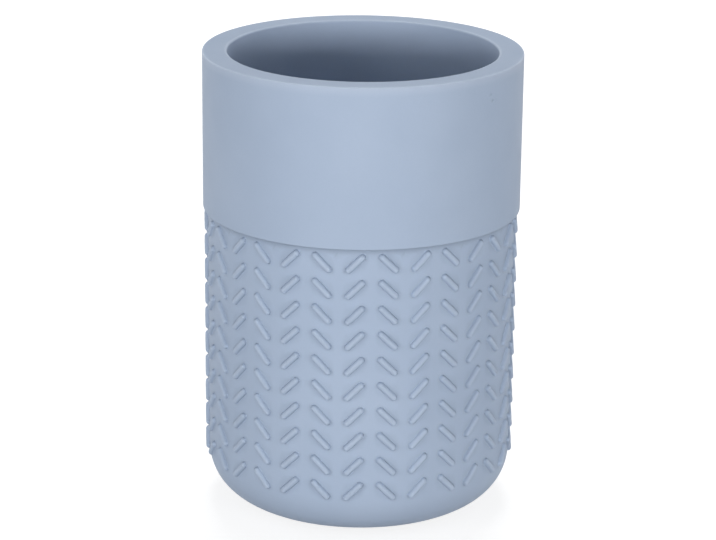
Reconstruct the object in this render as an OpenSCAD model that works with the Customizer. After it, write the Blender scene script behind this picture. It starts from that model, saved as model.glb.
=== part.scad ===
/* [Overall] */
// Height from the surface that it stands on to the rim
total_h = 110; // [95:1:130]
// Outer diameter of the smooth upper band
band_d = 75; // [68:1:90]

/* [Band and rim] */
// Height of the smooth band, measured down from the rim
band_h = 37.6; // [25:0.1:50]
// How far the band stands out from the lower wall
band_step = 1.2; // [0.7:0.1:2]
// Rounding of the band's lower edge
band_edge_r = 0.5; // [0.2:0.1:0.6]
// Thickness of the wall at the rim
rim_wall = 5.8; // [4.5:0.1:9]
// Rounding of the rim's outer edge
rim_outer_r = 0.4; // [0.2:0.1:2]
// Rounding of the rim's inner edge
rim_inner_r = 0.5; // [0.2:0.1:2]

/* [Heel and foot] */
// Rounding of the outer bottom edge
heel_r = 11.4; // [6:0.2:13]
// Width of the flat resin ring round the pad's recess
foot_ring_w = 4.4; // [3:0.2:8]

/* [Inside] */
// Thickness of the floor, from the foot ring up to the inside
floor_t = 7; // [5:0.5:12]
// How much the inside radius narrows from the mouth down to the floor
inside_draft = 1; // [0.4:0.1:2]
// Rounding between the inside wall and the floor
inside_corner_r = 8; // [4:0.5:12]

/* [Raised bars] */
// Length of a bar over its round ends
bar_l = 6; // [4.5:0.1:6.6]
// Width of a bar
bar_w = 1.6; // [1.2:0.1:2.4]
// How far a bar stands out from the lower wall
bar_proud = 0.9; // [0.5:0.1:1.1]
// Lean of a bar from the vertical, to the right in one column and to the left in the next
bar_lean = 45; // [30:1:60]
// Height from one row of bars to the next, rounded so that whole rows fill the pattern
row_spacing = 6.1; // [5.6:0.1:8]
// Distance round the wall between columns, rounded so that the pattern closes
column_spacing = 7.6; // [6.8:0.1:10]
// Height of the pattern's lower end above the foot ring
pattern_start = 9.9; // [8:0.1:14]
// Plain strip between the pattern and the band
pattern_gap = 0.3; // [0:0.1:3]

/* [Foam pad] */
// Thickness of the pad
pad_t = 2; // [1.5:0.1:3]
// Depth of the recess that the pad sits in
recess_depth = 1.2; // [0.8:0.1:1.6]
// Gap round the pad inside its recess
pad_clear = 0.5; // [0.2:0.1:1]
// Thickness of the adhesive film between the pad and the resin
film_t = 0.2; // [0.1:0.05:0.4]
// How far the film's edge lies inside the pad's edge
film_inset = 0.5; // [0.2:0.1:2]

/* [Hidden] */

// Steps round the large turned shapes and round a bar
body_steps = 180;
bar_steps = 24;

// How far a cut runs past the faces that it opens
overrun = 1;

band_r = band_d / 2;
wall_r = band_r - band_step;
band_z = total_h - band_h;

// The pad stands below the resin, so the resin starts this high
foot_z = pad_t + film_t - recess_depth;
recess_r = wall_r - heel_r - foot_ring_w;
pad_r = recess_r - pad_clear;

// The inside is a straight taper that runs into a round corner at the floor
floor_z = foot_z + floor_t;
mouth_r = band_r - rim_wall;
mouth_z = total_h - rim_inner_r;
floor_r = mouth_r - inside_draft;
taper_angle = atan(inside_draft / (mouth_z - floor_z));
corner_x = floor_r + inside_corner_r * (tan(taper_angle) - 1 / cos(taper_angle));
corner_z = floor_z + inside_corner_r;

// Whole rows fill the pattern's height, and an even number of columns closes the ring
pattern_z = foot_z + pattern_start;
pattern_h = band_z - pattern_gap - pattern_z;
rows = round(pattern_h / row_spacing);
row_step = pattern_h / rows;
columns = 2 * round(PI * wall_r / column_spacing);
bar_axis_r = wall_r + bar_proud - bar_w / 2;
bar_core_l = bar_l - bar_w;

// The square corner between two faces less the quarter circle that rounds it. The signs
// point from the circle's centre towards the corner.
module corner_waste(x, z, r, side_x, side_z) {
    translate([x - side_x * r, z - side_z * r])
        difference() {
            scale([side_x, side_z])
                square(r + overrun);
            circle(r = r, $fn = body_steps);
        }
}

// Half section of the outside, solid to the axis
module outside_section() {
    difference() {
        union() {
            translate([0, foot_z])
                square([wall_r, total_h - foot_z]);
            translate([0, band_z])
                square([band_r, band_h]);
        }
        corner_waste(wall_r, foot_z, heel_r, 1, -1);
        corner_waste(band_r, band_z, band_edge_r, 1, -1);
        corner_waste(band_r, total_h, rim_outer_r, 1, 1);
    }
}

// Half section of the space inside
module inside_section() {
    tangent_x = corner_x + inside_corner_r * cos(taper_angle);
    tangent_z = corner_z - inside_corner_r * sin(taper_angle);
    past_rim = total_h + overrun;
    union() {
        polygon([
            [0, floor_z],
            [corner_x, floor_z],
            [corner_x, corner_z],
            [tangent_x, tangent_z],
            [mouth_r, mouth_z],
            [mouth_r, past_rim],
            [0, past_rim]
        ]);
        translate([corner_x, corner_z])
            circle(r = inside_corner_r, $fn = body_steps);
    }
}

// One raised bar, a round rod with round ends, standing upright about its centre
module bar() {
    rotate_extrude($fn = bar_steps)
        intersection() {
            union() {
                square([bar_w, bar_core_l], center = true);
                for (end = [-1, 1])
                    translate([0, end * bar_core_l / 2])
                        circle(d = bar_w, $fn = bar_steps);
            }
            translate([0, -bar_l])
                square([bar_w, 2 * bar_l]);
        }
}

// All bars: those of one column lean to the right, those of the next to the left
module bars() {
    for (column = [0 : columns - 1])
        for (row = [0 : rows - 1])
            rotate([0, 0, column * 360 / columns - 90])
                translate([bar_axis_r, 0, pattern_z + (row + 1 / 2) * row_step])
                    rotate([column % 2 == 0 ? -bar_lean : bar_lean, 0, 0])
                        bar();
}

// The tumbler itself, cast in one piece with its bars
module cast_body() {
    color("lightsteelblue")
        difference() {
            union() {
                rotate_extrude($fn = body_steps)
                    difference() {
                        outside_section();
                        inside_section();
                        corner_waste(mouth_r, total_h, rim_inner_r, -1, 1);
                    }
                bars();
            }
            cylinder(r = recess_r, h = foot_z + recess_depth, $fn = body_steps);
        }
}

// Thin double-sided film that holds the pad in its recess
module pad_adhesive() {
    color("gainsboro")
        translate([0, 0, pad_t])
            cylinder(r = pad_r - film_inset, h = film_t, $fn = body_steps);
}

// Soft foam disc that the tumbler stands on
module base_pad() {
    color("dimgray")
        cylinder(r = pad_r, h = pad_t, $fn = body_steps);
}

cast_body();
pad_adhesive();
base_pad();
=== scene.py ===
import math

import bpy
import numpy as np
from mathutils import Matrix, Vector


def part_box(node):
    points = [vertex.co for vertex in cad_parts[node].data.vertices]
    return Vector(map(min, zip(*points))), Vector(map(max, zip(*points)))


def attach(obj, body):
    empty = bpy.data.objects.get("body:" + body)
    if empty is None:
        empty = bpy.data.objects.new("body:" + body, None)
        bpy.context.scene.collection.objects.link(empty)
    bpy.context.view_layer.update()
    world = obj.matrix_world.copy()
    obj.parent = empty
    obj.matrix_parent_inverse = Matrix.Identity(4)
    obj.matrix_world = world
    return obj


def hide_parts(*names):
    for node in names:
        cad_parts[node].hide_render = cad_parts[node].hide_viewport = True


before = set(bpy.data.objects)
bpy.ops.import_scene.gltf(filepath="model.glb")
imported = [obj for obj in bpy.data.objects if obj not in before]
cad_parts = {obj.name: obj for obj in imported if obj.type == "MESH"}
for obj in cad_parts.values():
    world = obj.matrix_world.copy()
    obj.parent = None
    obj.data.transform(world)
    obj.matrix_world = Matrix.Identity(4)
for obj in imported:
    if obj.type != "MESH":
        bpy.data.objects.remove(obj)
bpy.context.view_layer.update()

MM = 0.001

# Directions of a surface's normal, in degrees from outward towards up. Inward is also -IN.
OUT = 0
UP = 90
IN = 180
DOWN = -90

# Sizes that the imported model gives
body_low, body_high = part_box("cast_body")
_, pad_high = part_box("base_pad")
BAND_R = body_high.x
RIM_Z = body_high.z
FOOT_Z = body_low.z
PAD_R = pad_high.x
PAD_T = pad_high.z

# Sizes of the casting, as the model has them
BAND_H = 37.6 * MM
BAND_STEP = 1.2 * MM
BAND_EDGE_R = 0.5 * MM
RIM_WALL = 5.8 * MM
RIM_OUTER_R = 0.4 * MM
RIM_INNER_R = 0.5 * MM
HEEL_R = 11.4 * MM
FLOOR_T = 7 * MM
INSIDE_DRAFT = 1 * MM
INSIDE_CORNER_R = 8 * MM
RECESS_DEPTH = 1.2 * MM
PAD_CLEAR = 0.5 * MM

# The raised bars
BAR_L = 6 * MM
BAR_W = 1.6 * MM
BAR_PROUD = 0.9 * MM
BAR_LEAN = math.radians(45)
COLUMNS = 30
ROWS = 10
PATTERN_START = 9.9 * MM
PATTERN_GAP = 0.3 * MM

# Fine forms of the surface: the slope of a bar's flanks, the fillet at their foot, and the
# roundings of the pad's recess
BAR_FLANK = math.radians(85)
BAR_FILLET_R = 0.12 * MM
FOOT_EDGE_R = 0.3 * MM

WALL_R = BAND_R - BAND_STEP
BAND_Z = RIM_Z - BAND_H
MOUTH_R = BAND_R - RIM_WALL
FLOOR_Z = FOOT_Z + FLOOR_T
RECESS_R = PAD_R + PAD_CLEAR
RECESS_Z = FOOT_Z + RECESS_DEPTH
HEEL_TOP = FOOT_Z + HEEL_R

# The inside is a straight taper that runs into a round corner at the floor
TAPER = math.atan(INSIDE_DRAFT / (RIM_Z - RIM_INNER_R - FLOOR_Z))
TAPER_NORMAL = IN - math.degrees(TAPER)
CORNER_SHIFT = INSIDE_CORNER_R * (math.tan(TAPER) - 1 / math.cos(TAPER))
CORNER_CENTRE_R = MOUTH_R - INSIDE_DRAFT + CORNER_SHIFT
CORNER_CENTRE_Z = FLOOR_Z + INSIDE_CORNER_R

# The pattern, and the cell of the wall that each bar has to itself
PATTERN_Z = FOOT_Z + PATTERN_START
PATTERN_TOP = BAND_Z - PATTERN_GAP
CELL_H = (PATTERN_TOP - PATTERN_Z) / ROWS
CELL_W = 2 * math.pi * WALL_R / COLUMNS

# Section across a bar: a round crest, short steep flanks and a small fillet at their foot. A
# reach is a distance from the bar's centre line, which is twice BAR_CORE long.
BAR_CORE = (BAR_L - BAR_W) / 2
CREST_R = BAR_W / 2
CREST_REACH = CREST_R * math.sin(BAR_FLANK)
CREST_LOW = BAR_PROUD - CREST_R * (1 - math.cos(BAR_FLANK))
FILLET_HIGH = BAR_FILLET_R * (1 - math.cos(BAR_FLANK))
FLANK_REACH = CREST_REACH + (CREST_LOW - FILLET_HIGH) / math.tan(BAR_FLANK)
FOOT_REACH = FLANK_REACH + BAR_FILLET_R * math.sin(BAR_FLANK)

# A point's shade is 1 deep in a recess, where the colour is darkened as painted shade, 0 on
# plain resin, and -1 where it is made paler as a painted highlight. The mesh keeps them in this
# layer.
SHADE = "shade"

# Painted shade in recesses: how far it reaches from a bar's foot and down from the band, and how
# strong it is at a bar's foot and under the band
FOOT_SHADE_REACH = 0.6 * MM
CREASE_SHADE_REACH = 1.3 * MM
FOOT_SHADE = 0.3
CREASE_SHADE = 1.0

# Painted highlight, taken from the shade as a negative one: on a bar's crest, and on the rim's
# roundings where they start, where it is strongest and, for the outer one, where it ends
CREST_HIGHLIGHT = 0.35
EDGE_HIGHLIGHT_START = 0.6
EDGE_HIGHLIGHT = 1.0
EDGE_HIGHLIGHT_END = 0.2

# Where the rim has its painted highlight: from how far below it, in which directions of its outer
# and inner rounding it is strongest, in degrees, and the plain strip between the two
EDGE_HIGHLIGHT_REACH = 2.2 * MM
OUTER_HIGHLIGHT_AT = 45
INNER_HIGHLIGHT_AT = 120
PLAIN_RIM_OUTER_R = BAND_R - 2 * RIM_OUTER_R
PLAIN_RIM_INNER_R = MOUTH_R + 1.5 * RIM_INNER_R

# Mesh steps of a cell: along its width and height, round a quarter of its bar's end and along
# the bar's side. Half the bar's outline has as many steps as half the cell's edge.
CELL_WIDE = 8
CELL_HIGH = 6
END_STEPS = 4
HALF_STEPS = CELL_WIDE + CELL_HIGH
LOOP_STEPS = 2 * HALF_STEPS
SIDE_STEPS = HALF_STEPS - 2 * END_STEPS

# Shares of a bar's section at which it has mesh points, from the centre line down the crest and
# from the flank down the fillet
CREST_SHARES = (0.2, 0.4, 0.6, 0.8, 1)
FILLET_SHARES = (0.5, 0)

# The slope of the relief is measured over twice this distance
NUDGE = 0.001 * MM

# Mesh steps round the casting, which start at the left side of the front column, and along it
SEGMENTS = COLUMNS * CELL_WIDE
FRONT = -math.pi / 2
FIRST_ANGLE = FRONT - math.pi / COLUMNS
FOOT_EDGE_STEPS = 4
HEEL_STEPS = 16
CREASE_STEPS = 4
BAND_EDGE_STEPS = 6
BAND_STEPS = 7
# Steps below the rim's outer rounding, where its painted highlight begins
HIGHLIGHT_STEPS = 4
OUTER_EDGE_STEPS = 3
INNER_EDGE_STEPS = (2, 4)
INSIDE_STEPS = 10
CORNER_STEPS = 12

# Foam pad: the radius of its rolled edges, how far its side swells past them, and from where to
# where an edge turns, in degrees from the side. Then its mesh steps.
FOAM_EDGE_R = 0.35 * MM
FOAM_SWELL = 0.12 * MM
FOAM_EDGE_START = 12
FOAM_EDGE_END = 75
FOAM_EDGE_STEPS = 4
FOAM_SEGMENTS = 144

# The floor is a wide disc, level with the pad's underside
FLOOR_R = 4.0
FLOOR_RING_SHARES = (1, 0.2, 0.05, 0)
FLOOR_SEGMENTS = 96

# Points of a path that are closer than this are one point
SAME_PLACE = 0.0001 * MM


class Path:
    """Half section of a turned piece: points (radius, height), each with the direction of the
    surface's normal and a shade."""

    def __init__(self):
        self.points = []

    def point(self, r, z, normal, shade=0.0):
        """Adds a point, unless the path already ends there."""
        if self.points and math.dist((r, z), self.points[-1][:2]) < SAME_PLACE:
            return
        self.points.append((r, z, math.radians(normal), shade))

    def line(self, r, z, normal, steps=1, shade=0.0):
        """Straight line to (r, z), along which the shade changes evenly to the given one."""
        r0, z0, _, shade0 = self.points[-1]
        for i in range(1, steps + 1):
            share = i / steps
            level = shade0 + (shade - shade0) * share
            self.point(r0 + (r - r0) * share, z0 + (z - z0) * share, normal, level)

    def bend(self, r, z, radius, start, end, steps, hollow=False, shade=0.0):
        """Arc about (r, z) whose normal turns from start to end. A hollow one faces its centre.
        The shade changes evenly from the last point's to the given one."""
        side = -1 if hollow else 1
        shade0 = self.points[-1][3]
        for i in range(steps + 1):
            normal = start + (end - start) * i / steps
            angle = math.radians(normal)
            along, up = side * radius * math.cos(angle), side * radius * math.sin(angle)
            self.point(r + along, z + up, normal, shade0 + (shade - shade0) * i / steps)


class Shell:
    """Gathers faces, and vertices with exact normals and with shades."""

    def __init__(self):
        self.places = []
        self.normals = []
        self.shades = []
        self.count = 0
        self.faces = []

    def add(self, places, normals, shade=0.0):
        """Adds arrays of positions, normals and shades, and returns the indices in the same
        layout."""
        shape = places.shape[:-1]
        size = math.prod(shape)
        index = np.arange(self.count, self.count + size).reshape(shape)
        self.places.append(places.reshape(-1, 3))
        self.normals.append(normals.reshape(-1, 3))
        self.shades.append(np.broadcast_to(shade, shape).reshape(-1))
        self.count += size
        return index

    def bridge(self, lower, upper):
        """Quads between two closed rings of indices."""
        a, b = np.roll(lower, -1), np.roll(upper, -1)
        self.faces += np.stack([lower, a, b, upper], -1).tolist()

    def fan(self, ring, tip, reverse=False):
        """Triangles from a closed ring of indices to one point."""
        a, b = ring, np.roll(ring, -1)
        if reverse:
            a, b = b, a
        self.faces += np.stack([a, b, np.full_like(a, tip)], -1).tolist()

    def join(self, lower, upper):
        """Faces between two rings of indices, of which one may be a single point."""
        if len(lower) == 1:
            self.fan(upper, lower[0], reverse=True)
        elif len(upper) == 1:
            self.fan(lower, upper[0])
        else:
            self.bridge(lower, upper)

    def build(self, name):
        """Makes a mesh object of what was gathered."""
        mesh = bpy.data.meshes.new(name)
        places = np.concatenate(self.places)
        normals = np.concatenate(self.normals)
        mesh.from_pydata(places.tolist(), [], self.faces)
        mesh.polygons.foreach_set("use_smooth", np.ones(len(mesh.polygons), bool))
        normals /= np.linalg.norm(normals, axis=1)[:, None]
        mesh.normals_split_custom_set_from_vertices(normals.tolist())
        layer = mesh.attributes.new(SHADE, "FLOAT", "POINT")
        layer.data.foreach_set("value", np.concatenate(self.shades).astype(np.float32))
        mesh.update()
        piece = bpy.data.objects.new(name, mesh)
        bpy.context.scene.collection.objects.link(piece)
        return piece


def ring_of(r, z, normal, angles):
    """Positions and normals of a path's point, turned to the given angles."""
    c, s = np.cos(angles), np.sin(angles)
    flat, rise = np.cos(normal), np.sin(normal)
    places = np.stack([r * c, r * s, np.full(angles.shape, z)], -1)
    return places, np.stack([flat * c, flat * s, np.full(angles.shape, rise)], -1)


def turned(shell, path, segments, start=0.0, first=None, last=None):
    """Turns a path into rings of quads. Ends on the axis close with a fan. first and last are
    rings of indices that already exist for the path's end points."""
    angles = start + 2 * math.pi * np.arange(segments) / segments
    below = None
    for i, (r, z, normal, shade) in enumerate(path.points):
        if i == 0 and first is not None:
            ring = first
        elif i == len(path.points) - 1 and last is not None:
            ring = last
        elif r == 0:
            ring = shell.add(np.array([[0.0, 0.0, z]]), np.array([[0.0, 0.0, math.sin(normal)]]))
        else:
            ring = shell.add(*ring_of(r, z, normal, angles), shade)
        if below is not None:
            shell.join(below, ring)
        below = ring


def turned_piece(name, path, segments):
    """A mesh object that is one turned path."""
    shell = Shell()
    turned(shell, path, segments)
    return shell.build(name)


def bar_outline(distance):
    """Outline of a right-leaning bar at a distance from its centre line, as points (across, up)
    counter-clockwise from the bar's upper tip."""
    along = math.pi / 2 - BAR_LEAN
    quarter = math.pi / 2
    tip = np.array([math.cos(along), math.sin(along)]) * BAR_CORE
    upper = [(1, along + quarter * i / END_STEPS) for i in range(END_STEPS)]
    side = [(1 - 2 * i / SIDE_STEPS, along + quarter) for i in range(SIDE_STEPS)]
    lower = [(-1, along + quarter * (1 + i / END_STEPS)) for i in range(END_STEPS)]
    half = []
    for place, way in upper + side + lower:
        half.append(tip * place + distance * np.array([math.cos(way), math.sin(way)]))
    return np.array(half + [-point for point in half])


def cell_edge():
    """A cell's edge, as points (across, up) counter-clockwise from its upper right corner."""
    right, top = CELL_W / 2, CELL_H / 2
    upper = [(right - CELL_W * i / CELL_WIDE, top) for i in range(CELL_WIDE)]
    left = [(-right, top - CELL_H * i / CELL_HIGH) for i in range(CELL_HIGH)]
    half = np.array(upper + left)
    return np.concatenate([half, -half])


def cell_points():
    """Mesh points (across, up) of a cell with a right-leaning bar: along the bar's centre line,
    then in outlines round it, down to its foot and half way out to the cell's edge."""
    crest = [CREST_R * math.sin(BAR_FLANK * share) for share in CREST_SHARES]
    foot = [FOOT_REACH - BAR_FILLET_R * math.sin(BAR_FLANK * share) for share in FILLET_SHARES]
    outlines = [bar_outline(reach) for reach in crest + foot]
    outlines.append((outlines[-1] + cell_edge()) / 2)
    first = outlines[0]
    core = (first[1:HALF_STEPS] + first[:HALF_STEPS:-1]) / 2
    return np.concatenate([core, *outlines])


def bar_distance(x, y):
    """Distance from the centre line of a right-leaning bar, at (across, up) from its centre."""
    along = x * math.sin(BAR_LEAN) + y * math.cos(BAR_LEAN)
    over = x * math.cos(BAR_LEAN) - y * math.sin(BAR_LEAN)
    return np.hypot(np.maximum(np.abs(along) - BAR_CORE, 0), over)


def bar_height(distance):
    """Height of the relief above the wall at a distance from a bar's centre line."""
    crest = BAR_PROUD - CREST_R + np.sqrt(np.maximum(CREST_R**2 - distance**2, 0))
    flank = CREST_LOW - (distance - CREST_REACH) * math.tan(BAR_FLANK)
    short = np.clip(FOOT_REACH - distance, 0, BAR_FILLET_R)
    foot = BAR_FILLET_R - np.sqrt(BAR_FILLET_R**2 - short**2)
    return np.where(distance < CREST_REACH, crest, np.where(distance < FLANK_REACH, flank, foot))


def wall_slope(z):
    """How far the lower wall's normal points down and outward: 0 and 1 above the heel."""
    down = np.clip(HEEL_TOP - z, 0, HEEL_R) / HEEL_R
    return down, np.sqrt(1 - down**2)


def wall_point(angle, z, height):
    """Position on the lower wall at an angle and at z, raised square to the wall by a height."""
    down, out = wall_slope(z)
    r = WALL_R - HEEL_R * (1 - out) + height * out
    return np.stack([r * np.cos(angle), r * np.sin(angle), z - height * down], -1)


def wall_shade(z, distance):
    """Painted shade of the lower wall at z and at a distance from the nearest bar's centre line,
    with a painted highlight on the bar's crest.
    """
    foot = np.clip(1 - np.abs(distance - FOOT_REACH) / FOOT_SHADE_REACH, 0, 1)
    crease = np.clip(1 - (PATTERN_TOP - z) / CREASE_SHADE_REACH, 0, 1)
    crest = np.clip(1 - distance / CREST_R, 0, 1)
    return np.maximum(FOOT_SHADE * foot, CREASE_SHADE * crease) - CREST_HIGHLIGHT * crest


def plain_wall(angle, z):
    """Positions, normals and shades of the lower wall half way between the bars."""
    down, out = wall_slope(z)
    normal = np.stack([out * np.cos(angle), out * np.sin(angle), -down], -1)
    return wall_point(angle, z, np.zeros(z.shape)), normal, wall_shade(z, CELL_W / 2)


def relief(centre_angle, centre_z, lean, points):
    """Positions, normals and shades of the relief at points of a cell. They are those of a bar
    that leans to the right, where lean is 1, and are mirrored where it is -1."""
    x, y = lean * points[:, 0], points[:, 1]

    def at(dx, dy):
        px, py = x + dx, y + dy
        height = bar_height(bar_distance(lean * px, py))
        return wall_point(centre_angle + px / WALL_R, centre_z + py, height)

    across = at(NUDGE, 0) - at(-NUDGE, 0)
    upward = at(0, NUDGE) - at(0, -NUDGE)
    shade = wall_shade(centre_z + y, bar_distance(lean * x, y))
    return at(0, 0), np.cross(across, upward), shade


def edge_loop(top, bottom, left, right, lean):
    """Indices round a cell from the corner that its bar points at, in the order of the bar's
    outline, which is mirrored where the bar leans to the left."""
    if lean > 0:
        return np.concatenate([top[::-1], left[::-1], bottom, right])
    return np.concatenate([top, right[::-1], bottom[::-1], left])


def crest_faces(outline, core):
    """Faces over a bar's crest, from both sides of its innermost outline to its centre line."""
    one = outline[: HALF_STEPS + 1]
    other = np.append(outline[HALF_STEPS:], outline[0])[::-1]
    middle = [outline[0], *core, outline[HALF_STEPS]]
    faces = []
    for i in range(HALF_STEPS):
        for side, flip in ((one, False), (other, True)):
            # The faces at the tips have two corners in one place, and so become triangles
            face = list(dict.fromkeys([side[i], side[i + 1], middle[i + 1], middle[i]]))
            faces.append(face[::-1] if flip else face)
    return faces


def cell_faces(index, edge, lean):
    """Faces of one cell, between its outlines and over its bar's crest. index holds its vertices
    in the order of cell_points."""
    core = index[: HALF_STEPS - 1]
    outlines = [*index[HALF_STEPS - 1 :].reshape(-1, LOOP_STEPS), edge]
    faces = []
    for inner, outer in zip(outlines[:-1], outlines[1:]):
        faces += np.stack([inner, outer, np.roll(outer, -1), np.roll(inner, -1)], -1).tolist()
    faces += crest_faces(outlines[0], core)
    if lean < 0:
        faces = [face[::-1] for face in faces]
    return [[int(corner) for corner in face] for face in faces]


def cell_borders(shell, levels):
    """Adds the borders between the cells, and returns their indices: rings at the levels between
    the rows, and for each line between two columns what lies between those rings."""
    angles = FIRST_ANGLE + 2 * math.pi * np.arange(SEGMENTS) / SEGMENTS
    rings = [shell.add(*plain_wall(angles, np.full(SEGMENTS, z))) for z in levels]
    between = levels[:-1, None] + CELL_H * np.arange(1, CELL_HIGH) / CELL_HIGH
    sides = []
    for angle in angles[::CELL_WIDE]:
        sides.append(shell.add(*plain_wall(np.full(between.shape, angle), between)))
    return rings, sides


def pattern(shell):
    """The lower wall with its bars, one cell for each bar. Returns its lowest and highest ring."""
    levels = PATTERN_Z + CELL_H * np.arange(ROWS + 1)
    rings, sides = cell_borders(shell, levels)
    points = cell_points()
    for column in range(COLUMNS):
        lean = 1 if column % 2 == 0 else -1
        centre_angle = FRONT + 2 * math.pi * column / COLUMNS
        steps = (column * CELL_WIDE + np.arange(CELL_WIDE + 1)) % SEGMENTS
        left, right = sides[column], sides[(column + 1) % COLUMNS]
        for row in range(ROWS):
            centre_z = (levels[row] + levels[row + 1]) / 2
            index = shell.add(*relief(centre_angle, centre_z, lean, points))
            top, bottom = rings[row + 1][steps], rings[row][steps]
            edge = edge_loop(top, bottom, left[row], right[row], lean)
            shell.faces += cell_faces(index, edge, lean)
    return rings[0], rings[-1]


def underside():
    """Path from the middle of the pad's recess over the foot ring and up the heel."""
    heel_end = -math.degrees(math.asin((HEEL_TOP - PATTERN_Z) / HEEL_R))
    path = Path()
    path.point(0, RECESS_Z, DOWN)
    path.line((RECESS_R - FOOT_EDGE_R) / 2, RECESS_Z, DOWN)
    top = (RECESS_R - FOOT_EDGE_R, RECESS_Z - FOOT_EDGE_R, FOOT_EDGE_R)
    path.bend(*top, DOWN, -IN, FOOT_EDGE_STEPS, hollow=True)
    ring_edge = (RECESS_R + FOOT_EDGE_R, FOOT_Z + FOOT_EDGE_R, FOOT_EDGE_R)
    path.bend(*ring_edge, -IN, DOWN, FOOT_EDGE_STEPS)
    path.bend(WALL_R - HEEL_R, HEEL_TOP, HEEL_R, DOWN, heel_end, HEEL_STEPS)
    return path


def add_band(path):
    """Continues a path from the pattern's upper end into the crease under the band, round the
    band's lower edge and up its side."""
    # The crease under the band starts with full painted shade
    path.point(WALL_R, PATTERN_TOP, OUT, CREASE_SHADE)
    crease = (WALL_R + PATTERN_GAP, PATTERN_TOP, PATTERN_GAP)
    path.bend(*crease, OUT, DOWN, CREASE_STEPS, hollow=True, shade=CREASE_SHADE)
    edge = (BAND_R - BAND_EDGE_R, BAND_Z + BAND_EDGE_R, BAND_EDGE_R)
    path.bend(*edge, DOWN, OUT, BAND_EDGE_STEPS)
    path.line(BAND_R, RIM_Z - EDGE_HIGHLIGHT_REACH, OUT, BAND_STEPS)


def add_rim(path):
    """Continues a path over the rim and its two roundings, which carry a painted highlight."""
    path.line(BAND_R, RIM_Z - RIM_OUTER_R, OUT, HIGHLIGHT_STEPS, -EDGE_HIGHLIGHT_START)
    outer = (BAND_R - RIM_OUTER_R, RIM_Z - RIM_OUTER_R, RIM_OUTER_R)
    path.bend(*outer, OUT, OUTER_HIGHLIGHT_AT, OUTER_EDGE_STEPS, shade=-EDGE_HIGHLIGHT)
    path.bend(*outer, OUTER_HIGHLIGHT_AT, UP, OUTER_EDGE_STEPS, shade=-EDGE_HIGHLIGHT_END)
    path.line(PLAIN_RIM_OUTER_R, RIM_Z, UP)
    path.line(PLAIN_RIM_INNER_R, RIM_Z, UP)
    path.line(MOUTH_R + RIM_INNER_R, RIM_Z, UP, shade=-EDGE_HIGHLIGHT_START)
    inner = (MOUTH_R + RIM_INNER_R, RIM_Z - RIM_INNER_R, RIM_INNER_R)
    path.bend(*inner, UP, INNER_HIGHLIGHT_AT, INNER_EDGE_STEPS[0], shade=-EDGE_HIGHLIGHT)
    path.bend(*inner, INNER_HIGHLIGHT_AT, TAPER_NORMAL, INNER_EDGE_STEPS[1])


def add_inside(path):
    """Continues a path down the inside, round its corner and to the middle of its floor."""
    end_r = CORNER_CENTRE_R + INSIDE_CORNER_R * math.cos(TAPER)
    end_z = CORNER_CENTRE_Z - INSIDE_CORNER_R * math.sin(TAPER)
    path.line(end_r, end_z, TAPER_NORMAL, INSIDE_STEPS)
    corner = (CORNER_CENTRE_R, CORNER_CENTRE_Z, INSIDE_CORNER_R)
    path.bend(*corner, TAPER_NORMAL, UP, CORNER_STEPS, hollow=True)
    path.line(CORNER_CENTRE_R / 2, FLOOR_Z, UP)
    path.line(0, FLOOR_Z, UP)


def tumbler():
    """The whole casting: underside, heel, patterned wall, band, rim and inside."""
    shell = Shell()
    low_ring, high_ring = pattern(shell)
    turned(shell, underside(), SEGMENTS, FIRST_ANGLE, last=low_ring)
    upper = Path()
    add_band(upper)
    add_rim(upper)
    add_inside(upper)
    turned(shell, upper, SEGMENTS, FIRST_ANGLE, first=high_ring)
    return shell.build("tumbler_casting")


def foam_disc():
    """The die-cut foam pad, with softly rolled edges and a slightly swollen side."""
    edge_r = PAD_R - FOAM_SWELL - FOAM_EDGE_R
    path = Path()
    path.point(0, 0, DOWN)
    path.line(edge_r / 2, 0, DOWN)
    path.line(edge_r, 0, DOWN)
    lower = (edge_r, FOAM_EDGE_R, FOAM_EDGE_R)
    path.bend(*lower, -FOAM_EDGE_END, -FOAM_EDGE_START, FOAM_EDGE_STEPS)
    path.line(PAD_R, PAD_T / 2, OUT)
    upper = (edge_r, PAD_T - FOAM_EDGE_R, FOAM_EDGE_R)
    path.bend(*upper, FOAM_EDGE_START, FOAM_EDGE_END, FOAM_EDGE_STEPS)
    path.line(edge_r, PAD_T, UP)
    path.line(edge_r / 2, PAD_T, UP)
    path.line(0, PAD_T, UP)
    return turned_piece("foam_disc", path, FOAM_SEGMENTS)


def floor_disc():
    """The floor, a flat disc that faces up."""
    path = Path()
    for share in FLOOR_RING_SHARES:
        path.point(FLOOR_R * share, 0, UP)
    return turned_piece("floor", path, FLOOR_SEGMENTS)


# Where most of a noise's values lie
NOISE_LOW = 0.3
NOISE_HIGH = 0.7


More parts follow.
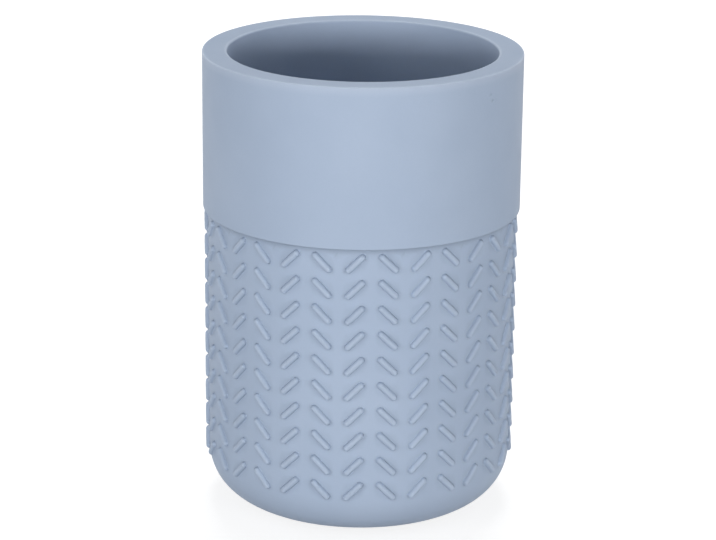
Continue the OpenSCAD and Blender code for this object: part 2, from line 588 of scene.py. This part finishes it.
class Nodes:
    """Short way to write a material's node tree."""

    def __init__(self, name):
        self.material = bpy.data.materials.new(name)
        self.material.use_nodes = True
        self.tree = self.material.node_tree
        self.shader = self.tree.nodes["Principled BSDF"]

    def node(self, kind, values=None, **settings):
        """A new node with the given settings and values of its sockets."""
        node = self.tree.nodes.new(kind)
        for key, value in settings.items():
            setattr(node, key, value)
        for key, value in (values or {}).items():
            node.inputs[key].default_value = value
        return node

    def link(self, output, target):
        self.tree.links.new(output, target)

    def feed(self, socket, output):
        """Links an output to one of the shader's sockets."""
        self.link(output, self.shader.inputs[socket])

    def set(self, **values):
        """Sets the shader's sockets, in whose names an underscore stands for a space."""
        for key, value in values.items():
            self.shader.inputs[key.replace("_", " ")].default_value = value

    def place(self):
        """Position on the object, in metres."""
        return self.node("ShaderNodeTexCoord").outputs["Object"]

    def noise(self, size, detail, roughness=0.5):
        """Noise from about 0 to 1 whose features are about size metres across."""
        values = {"Scale": 1 / size, "Detail": detail, "Roughness": roughness}
        node = self.node("ShaderNodeTexNoise", values)
        self.link(self.place(), node.inputs["Vector"])
        return node.outputs["Fac"]

    def spread(self, value, low, high, start=NOISE_LOW, end=NOISE_HIGH):
        """Maps a value from start..end to low..high."""
        values = {"From Min": start, "From Max": end, "To Min": low, "To Max": high}
        node = self.node("ShaderNodeMapRange", values)
        self.link(value, node.inputs["Value"])
        return node.outputs["Result"]

    def math(self, operation, a, b):
        """Result of an operation on two values, each a number or another node's output."""
        node = self.node("ShaderNodeMath", operation=operation)
        for i, value in enumerate((a, b)):
            if isinstance(value, (int, float)):
                node.inputs[i].default_value = value
            else:
                self.link(value, node.inputs[i])
        return node.outputs["Value"]

    def mix(self, factor, a, b):
        """Blend of two colours, each a tuple or another node's output."""
        node = self.node("ShaderNodeMix", data_type="RGBA")
        self.link(factor, node.inputs["Factor"])
        for name, value in (("A", a), ("B", b)):
            socket = [s for s in node.inputs if s.name == name and s.type == "RGBA"][0]
            if isinstance(value, tuple):
                socket.default_value = (*value, 1)
            else:
                self.link(value, socket)
        return [s for s in node.outputs if s.type == "RGBA"][0]

    def bump(self, height, distance, under=None):
        """Normal of a relief that rises by the distance, in metres, for each 1 of height. under
        is the normal of a relief below it."""
        node = self.node("ShaderNodeBump", {"Distance": distance})
        self.link(height, node.inputs["Height"])
        if under is not None:
            self.link(under, node.inputs["Normal"])
        return node.outputs["Normal"]


BLACK = (0.0, 0.0, 0.0)
WHITE = (1.0, 1.0, 1.0)

# Two small casting pits high on the band: azimuth from the front in degrees, height above the
# rest plane, and half width. A pit is wider than high by the flatness.
PITS = ((52.03, 105.3 * MM, 0.75 * MM), (53.27, 103.8 * MM, 0.7 * MM))
PIT_FLATNESS = 1.6
PIT_DEPTH = 0.16 * MM

# Colours of the resin: its two clouded tones, its grain, and the pale tone of its painted
# highlight
RESIN_DARK = (0.383, 0.466, 0.602)
RESIN_LIGHT = (0.412, 0.496, 0.632)
GRAIN_TONE = (0.31, 0.38, 0.50)
HIGHLIGHT_TONE = (0.9, 0.94, 1.0)

# How far the colour goes towards these, and towards black as painted shade in recesses and pits,
# at the most
GRAIN_STRENGTH = 0.10
HIGHLIGHT_STRENGTH = 0.16
RECESS_SHADE = 0.3
PIT_SHADE = 0.12

# Noises of the resin: size of the features, detail and, for some, roughness
CLOUD_NOISE = (22 * MM, 3)
GRAIN_NOISE = (0.45 * MM, 3, 0.6)
SKIN_NOISE = (6 * MM, 4, 0.6)
WAVE_NOISE = (9 * MM, 2)
FINE_NOISE = (0.35 * MM, 3, 0.6)

# The noise values between which the grain fades in, the heights of the soft waves and the fine
# relief, and the shader's values
GRAIN_SPAN = (0.35, 0.75)
WAVE_HEIGHT = 0.03 * MM
FINE_HEIGHT = 0.004 * MM
RESIN_ROUGHNESS = (0.50, 0.60)
RESIN_SPECULAR = 0.12


def pits(paint):
    """1 in the middle of each pit, falling to 0 at its edge."""
    flat = paint.node("ShaderNodeVectorMath", operation="MULTIPLY")
    flat.inputs[1].default_value = (1, 1, PIT_FLATNESS)
    paint.link(paint.place(), flat.inputs[0])
    deepest = 0.0
    for azimuth, height, half_width in PITS:
        angle = math.radians(azimuth)
        middle = (BAND_R * math.sin(angle), -BAND_R * math.cos(angle), height * PIT_FLATNESS)
        away = paint.node("ShaderNodeVectorMath", operation="DISTANCE")
        away.inputs[1].default_value = middle
        paint.link(flat.outputs["Vector"], away.inputs[0])
        depth = paint.spread(away.outputs["Value"], 1, 0, 0, half_width)
        deepest = paint.math("MAXIMUM", deepest, depth)
    return deepest


def resin_colour(paint, pitted):
    """Clouded pigment with fine grain, made paler by a painted highlight, and darker by painted
    shade in recesses and pits.
    """
    cloud = paint.spread(paint.noise(*CLOUD_NOISE), 0, 1)
    tone = paint.mix(cloud, RESIN_DARK, RESIN_LIGHT)
    grain = paint.spread(paint.noise(*GRAIN_NOISE), 0, GRAIN_STRENGTH, *GRAIN_SPAN)
    tone = paint.mix(grain, tone, GRAIN_TONE)
    shade = paint.node("ShaderNodeAttribute", attribute_name=SHADE).outputs["Fac"]
    # Painted highlight: paler where the shade is below 0
    highlight = paint.math("MAXIMUM", paint.math("MULTIPLY", shade, -HIGHLIGHT_STRENGTH), 0.0)
    tone = paint.mix(highlight, tone, HIGHLIGHT_TONE)
    # Painted shade: darker at the bars' feet, under the band and in the pits
    recess = paint.math("MULTIPLY", shade, RECESS_SHADE)
    dark = paint.math("MAXIMUM", recess, paint.math("MULTIPLY", pitted, PIT_SHADE))
    return paint.mix(dark, tone, BLACK)


def resin():
    """Cast resin, coloured right through: a soft, nearly matt skin with slight waves, a fine
    relief and two pits."""
    paint = Nodes("polyresin")
    pitted = pits(paint)
    paint.feed("Base Color", resin_colour(paint, pitted))
    paint.feed("Roughness", paint.spread(paint.noise(*SKIN_NOISE), *RESIN_ROUGHNESS))
    waves = paint.bump(paint.noise(*WAVE_NOISE), WAVE_HEIGHT)
    fine = paint.bump(paint.noise(*FINE_NOISE), FINE_HEIGHT, under=waves)
    paint.feed("Normal", paint.bump(paint.math("MULTIPLY", pitted, -1), PIT_DEPTH, under=fine))
    paint.set(Specular_IOR_Level=RESIN_SPECULAR)
    return paint.material


# The foam: the colours of its cells and of the walls between them, the cells' size and depth,
# and from where to where a cell turns into its wall, as shares of the size. Then the shader's
# values, with the noise of the roughness.
FOAM_DARK = (0.022, 0.022, 0.024)
FOAM_LIGHT = (0.042, 0.042, 0.045)
FOAM_CELL = 0.32 * MM
FOAM_CELL_DEPTH = 0.05 * MM
FOAM_WALL_SPAN = (0.1, 0.6)
FOAM_NOISE = (4 * MM, 3)
FOAM_ROUGHNESS = (0.86, 0.96)
FOAM_SPECULAR = 0.3


def foam():
    """Closed-cell foam: dark, matt, with a fine cell structure."""
    paint = Nodes("foam")
    cells = paint.node("ShaderNodeTexVoronoi", {"Scale": 1 / FOAM_CELL}, feature="F1")
    paint.link(paint.place(), cells.inputs["Vector"])
    wall = paint.spread(cells.outputs["Distance"], 0, 1, *FOAM_WALL_SPAN)
    paint.feed("Base Color", paint.mix(wall, FOAM_DARK, FOAM_LIGHT))
    paint.feed("Roughness", paint.spread(paint.noise(*FOAM_NOISE), *FOAM_ROUGHNESS))
    paint.feed("Normal", paint.bump(wall, FOAM_CELL_DEPTH))
    paint.set(Specular_IOR_Level=FOAM_SPECULAR)
    return paint.material


# The glue film: its colours, its noises, the height of its waves and its roughness
GLUE_DARK = (0.66, 0.66, 0.60)
GLUE_LIGHT = (0.74, 0.74, 0.70)
GLUE_STREAK_NOISE = (5 * MM, 4, 0.6)
GLUE_GLOSS_NOISE = (2 * MM, 3)
GLUE_WAVE_NOISE = (1.5 * MM, 2)
GLUE_WAVE_HEIGHT = 0.01 * MM
GLUE_ROUGHNESS = (0.15, 0.3)


def adhesive():
    """Glue film, seen as a slightly yellowed, uneven gloss."""
    paint = Nodes("adhesive")
    streak = paint.spread(paint.noise(*GLUE_STREAK_NOISE), 0, 1)
    paint.feed("Base Color", paint.mix(streak, GLUE_DARK, GLUE_LIGHT))
    paint.feed("Roughness", paint.spread(paint.noise(*GLUE_GLOSS_NOISE), *GLUE_ROUGHNESS))
    paint.feed("Normal", paint.bump(paint.noise(*GLUE_WAVE_NOISE), GLUE_WAVE_HEIGHT))
    return paint.material


# The floor's paper, and its glow, which rises from NEAR_GLOW at the near distance to white at
# the far one, where the lamps no longer reach it
PAPER = (0.36, 0.36, 0.36)
PAPER_ROUGHNESS = 0.9
PAPER_SPECULAR = 0.1
NEAR_GLOW = 0.8
GLOW_NEAR = 0.4
GLOW_FAR = 1.0


def seen_rays(tree):
    """1 for rays that show the surroundings to the camera, straight or in a shine, and 0 for
    rays that only carry light."""
    rays = tree.nodes.new("ShaderNodeLightPath")
    seen = rays.outputs["Is Camera Ray"]
    for name in ("Is Glossy Ray", "Is Transmission Ray"):
        either = tree.nodes.new("ShaderNodeMath")
        either.operation = "MAXIMUM"
        tree.links.new(seen, either.inputs[0])
        tree.links.new(rays.outputs[name], either.inputs[1])
        seen = either.outputs["Value"]
    return seen


def floor_paint():
    """Paper that glows for the camera, so that it shows white where no shadow lies."""
    paint = Nodes("floor_paper")
    paint.set(Base_Color=(*PAPER, 1), Emission_Color=(*WHITE, 1))
    paint.set(Roughness=PAPER_ROUGHNESS, Specular_IOR_Level=PAPER_SPECULAR)
    away = paint.node("ShaderNodeVectorMath", operation="LENGTH")
    paint.link(paint.place(), away.inputs[0])
    glow = paint.spread(away.outputs["Value"], NEAR_GLOW, 1, GLOW_NEAR, GLOW_FAR)
    paint.feed("Emission Strength", paint.math("MULTIPLY", seen_rays(paint.tree), glow))
    return paint.material


# Soft lamps: name, azimuth from the front towards the right in degrees, elevation in degrees,
# width and height in metres, power in watts. The front is lit from low down, so that the inside
# stays dark, and the rim from above the back.
LAMPS = (
    ("front", 0, 6, 0.3, 0.2, 6.4),
    ("right front", 30, 18, 0.3, 0.25, 0.7),
    ("left front", -55, 18, 0.3, 0.25, 1.3),
    ("left front low", -50, 6, 0.3, 0.2, 2.5),
    ("left front high", -50, 35, 0.35, 0.35, 0.4),
    ("right front low", 50, 6, 0.3, 0.2, 2.9),
    ("left side", -80, 6, 0.3, 0.2, 0.4),
    ("right side low", 80, 6, 0.3, 0.2, 0.6),
    ("right side", 80, 18, 0.3, 0.25, 0.3),
    ("left back", -135, 5, 0.4, 0.2, 2.3),
    ("right back", 135, 5, 0.4, 0.2, 2.3),
    ("back high", 180, 65, 0.5, 0.4, 8.6),
)
LAMP_DISTANCE = 1.2
LAMP_AIM = Vector((0, 0, 0.055))

# Strength of the light from all round
AMBIENT = 0.09


def lamp(name, azimuth, elevation, width, height, power):
    """One soft lamp that faces the object."""
    light = bpy.data.lights.new(name, "AREA")
    light.shape = "RECTANGLE"
    light.size = width
    light.size_y = height
    light.energy = power
    piece = bpy.data.objects.new(name, light)
    bpy.context.scene.collection.objects.link(piece)
    round_z, rise = math.radians(azimuth), math.radians(elevation)
    level = math.cos(rise)
    way = Vector((math.sin(round_z) * level, -math.cos(round_z) * level, math.sin(rise)))
    piece.location = LAMP_AIM + way * LAMP_DISTANCE
    piece.rotation_euler = way.to_track_quat("Z", "Y").to_euler()


def surroundings():
    """A white studio: whoever looks past the floor sees plain white, and little light comes
    from there."""
    world = bpy.data.worlds.new("studio")
    world.use_nodes = True
    tree = world.node_tree
    studio = tree.nodes["Background"]
    studio.inputs["Color"].default_value = (*WHITE, 1)
    strength = tree.nodes.new("ShaderNodeMath")
    strength.operation = "MULTIPLY_ADD"
    tree.links.new(seen_rays(tree), strength.inputs[0])
    strength.inputs[1].default_value = 1 - AMBIENT
    strength.inputs[2].default_value = AMBIENT
    tree.links.new(strength.outputs["Value"], studio.inputs["Strength"])
    bpy.context.scene.world = world


# The camera, fitted to the photograph's outlines: places in metres, lens and sensor in
# millimetres, and angles in radians. It sees things from CAMERA_NEAR on.
CAMERA_BACK = 0.600
CAMERA_UP = 0.24835
CAMERA_AIM = Vector((-0.00064, 0, 0.056))
CAMERA_LENS = 132.5
CAMERA_SENSOR = 36
CAMERA_ROLL = 0.011
CAMERA_TURN = math.radians(1.92)
CAMERA_NEAR = 0.01


def camera():
    """The camera stands in front, looks down a little, and is turned so that the photographed
    column faces it."""
    lens = bpy.data.cameras.new("camera")
    lens.sensor_width = CAMERA_SENSOR
    lens.lens = CAMERA_LENS
    lens.clip_start = CAMERA_NEAR
    piece = bpy.data.objects.new("camera", lens)
    bpy.context.scene.collection.objects.link(piece)
    place = Vector((0, -CAMERA_BACK, CAMERA_UP))
    look = (CAMERA_AIM - place).to_track_quat("-Z", "Y").to_matrix().to_4x4()
    roll = Matrix.Rotation(CAMERA_ROLL, 4, "Z")
    turn = Matrix.Rotation(CAMERA_TURN, 4, "Z")
    piece.matrix_world = turn @ Matrix.Translation(place) @ look @ roll
    bpy.context.scene.camera = piece


def give(piece, material):
    """Makes a material the only one of a piece."""
    piece.data.materials.clear()
    piece.data.materials.append(material)


# The pieces
body = tumbler()
give(body, resin())
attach(body, "root")
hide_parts("cast_body")

pad = foam_disc()
give(pad, foam())
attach(pad, "root")
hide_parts("base_pad")

give(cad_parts["pad_adhesive"], adhesive())

# The studio
floor = floor_disc()
give(floor, floor_paint())
for settings in LAMPS:
    lamp(*settings)
surroundings()
camera()
bpy.context.scene.view_settings.view_transform = "Standard"
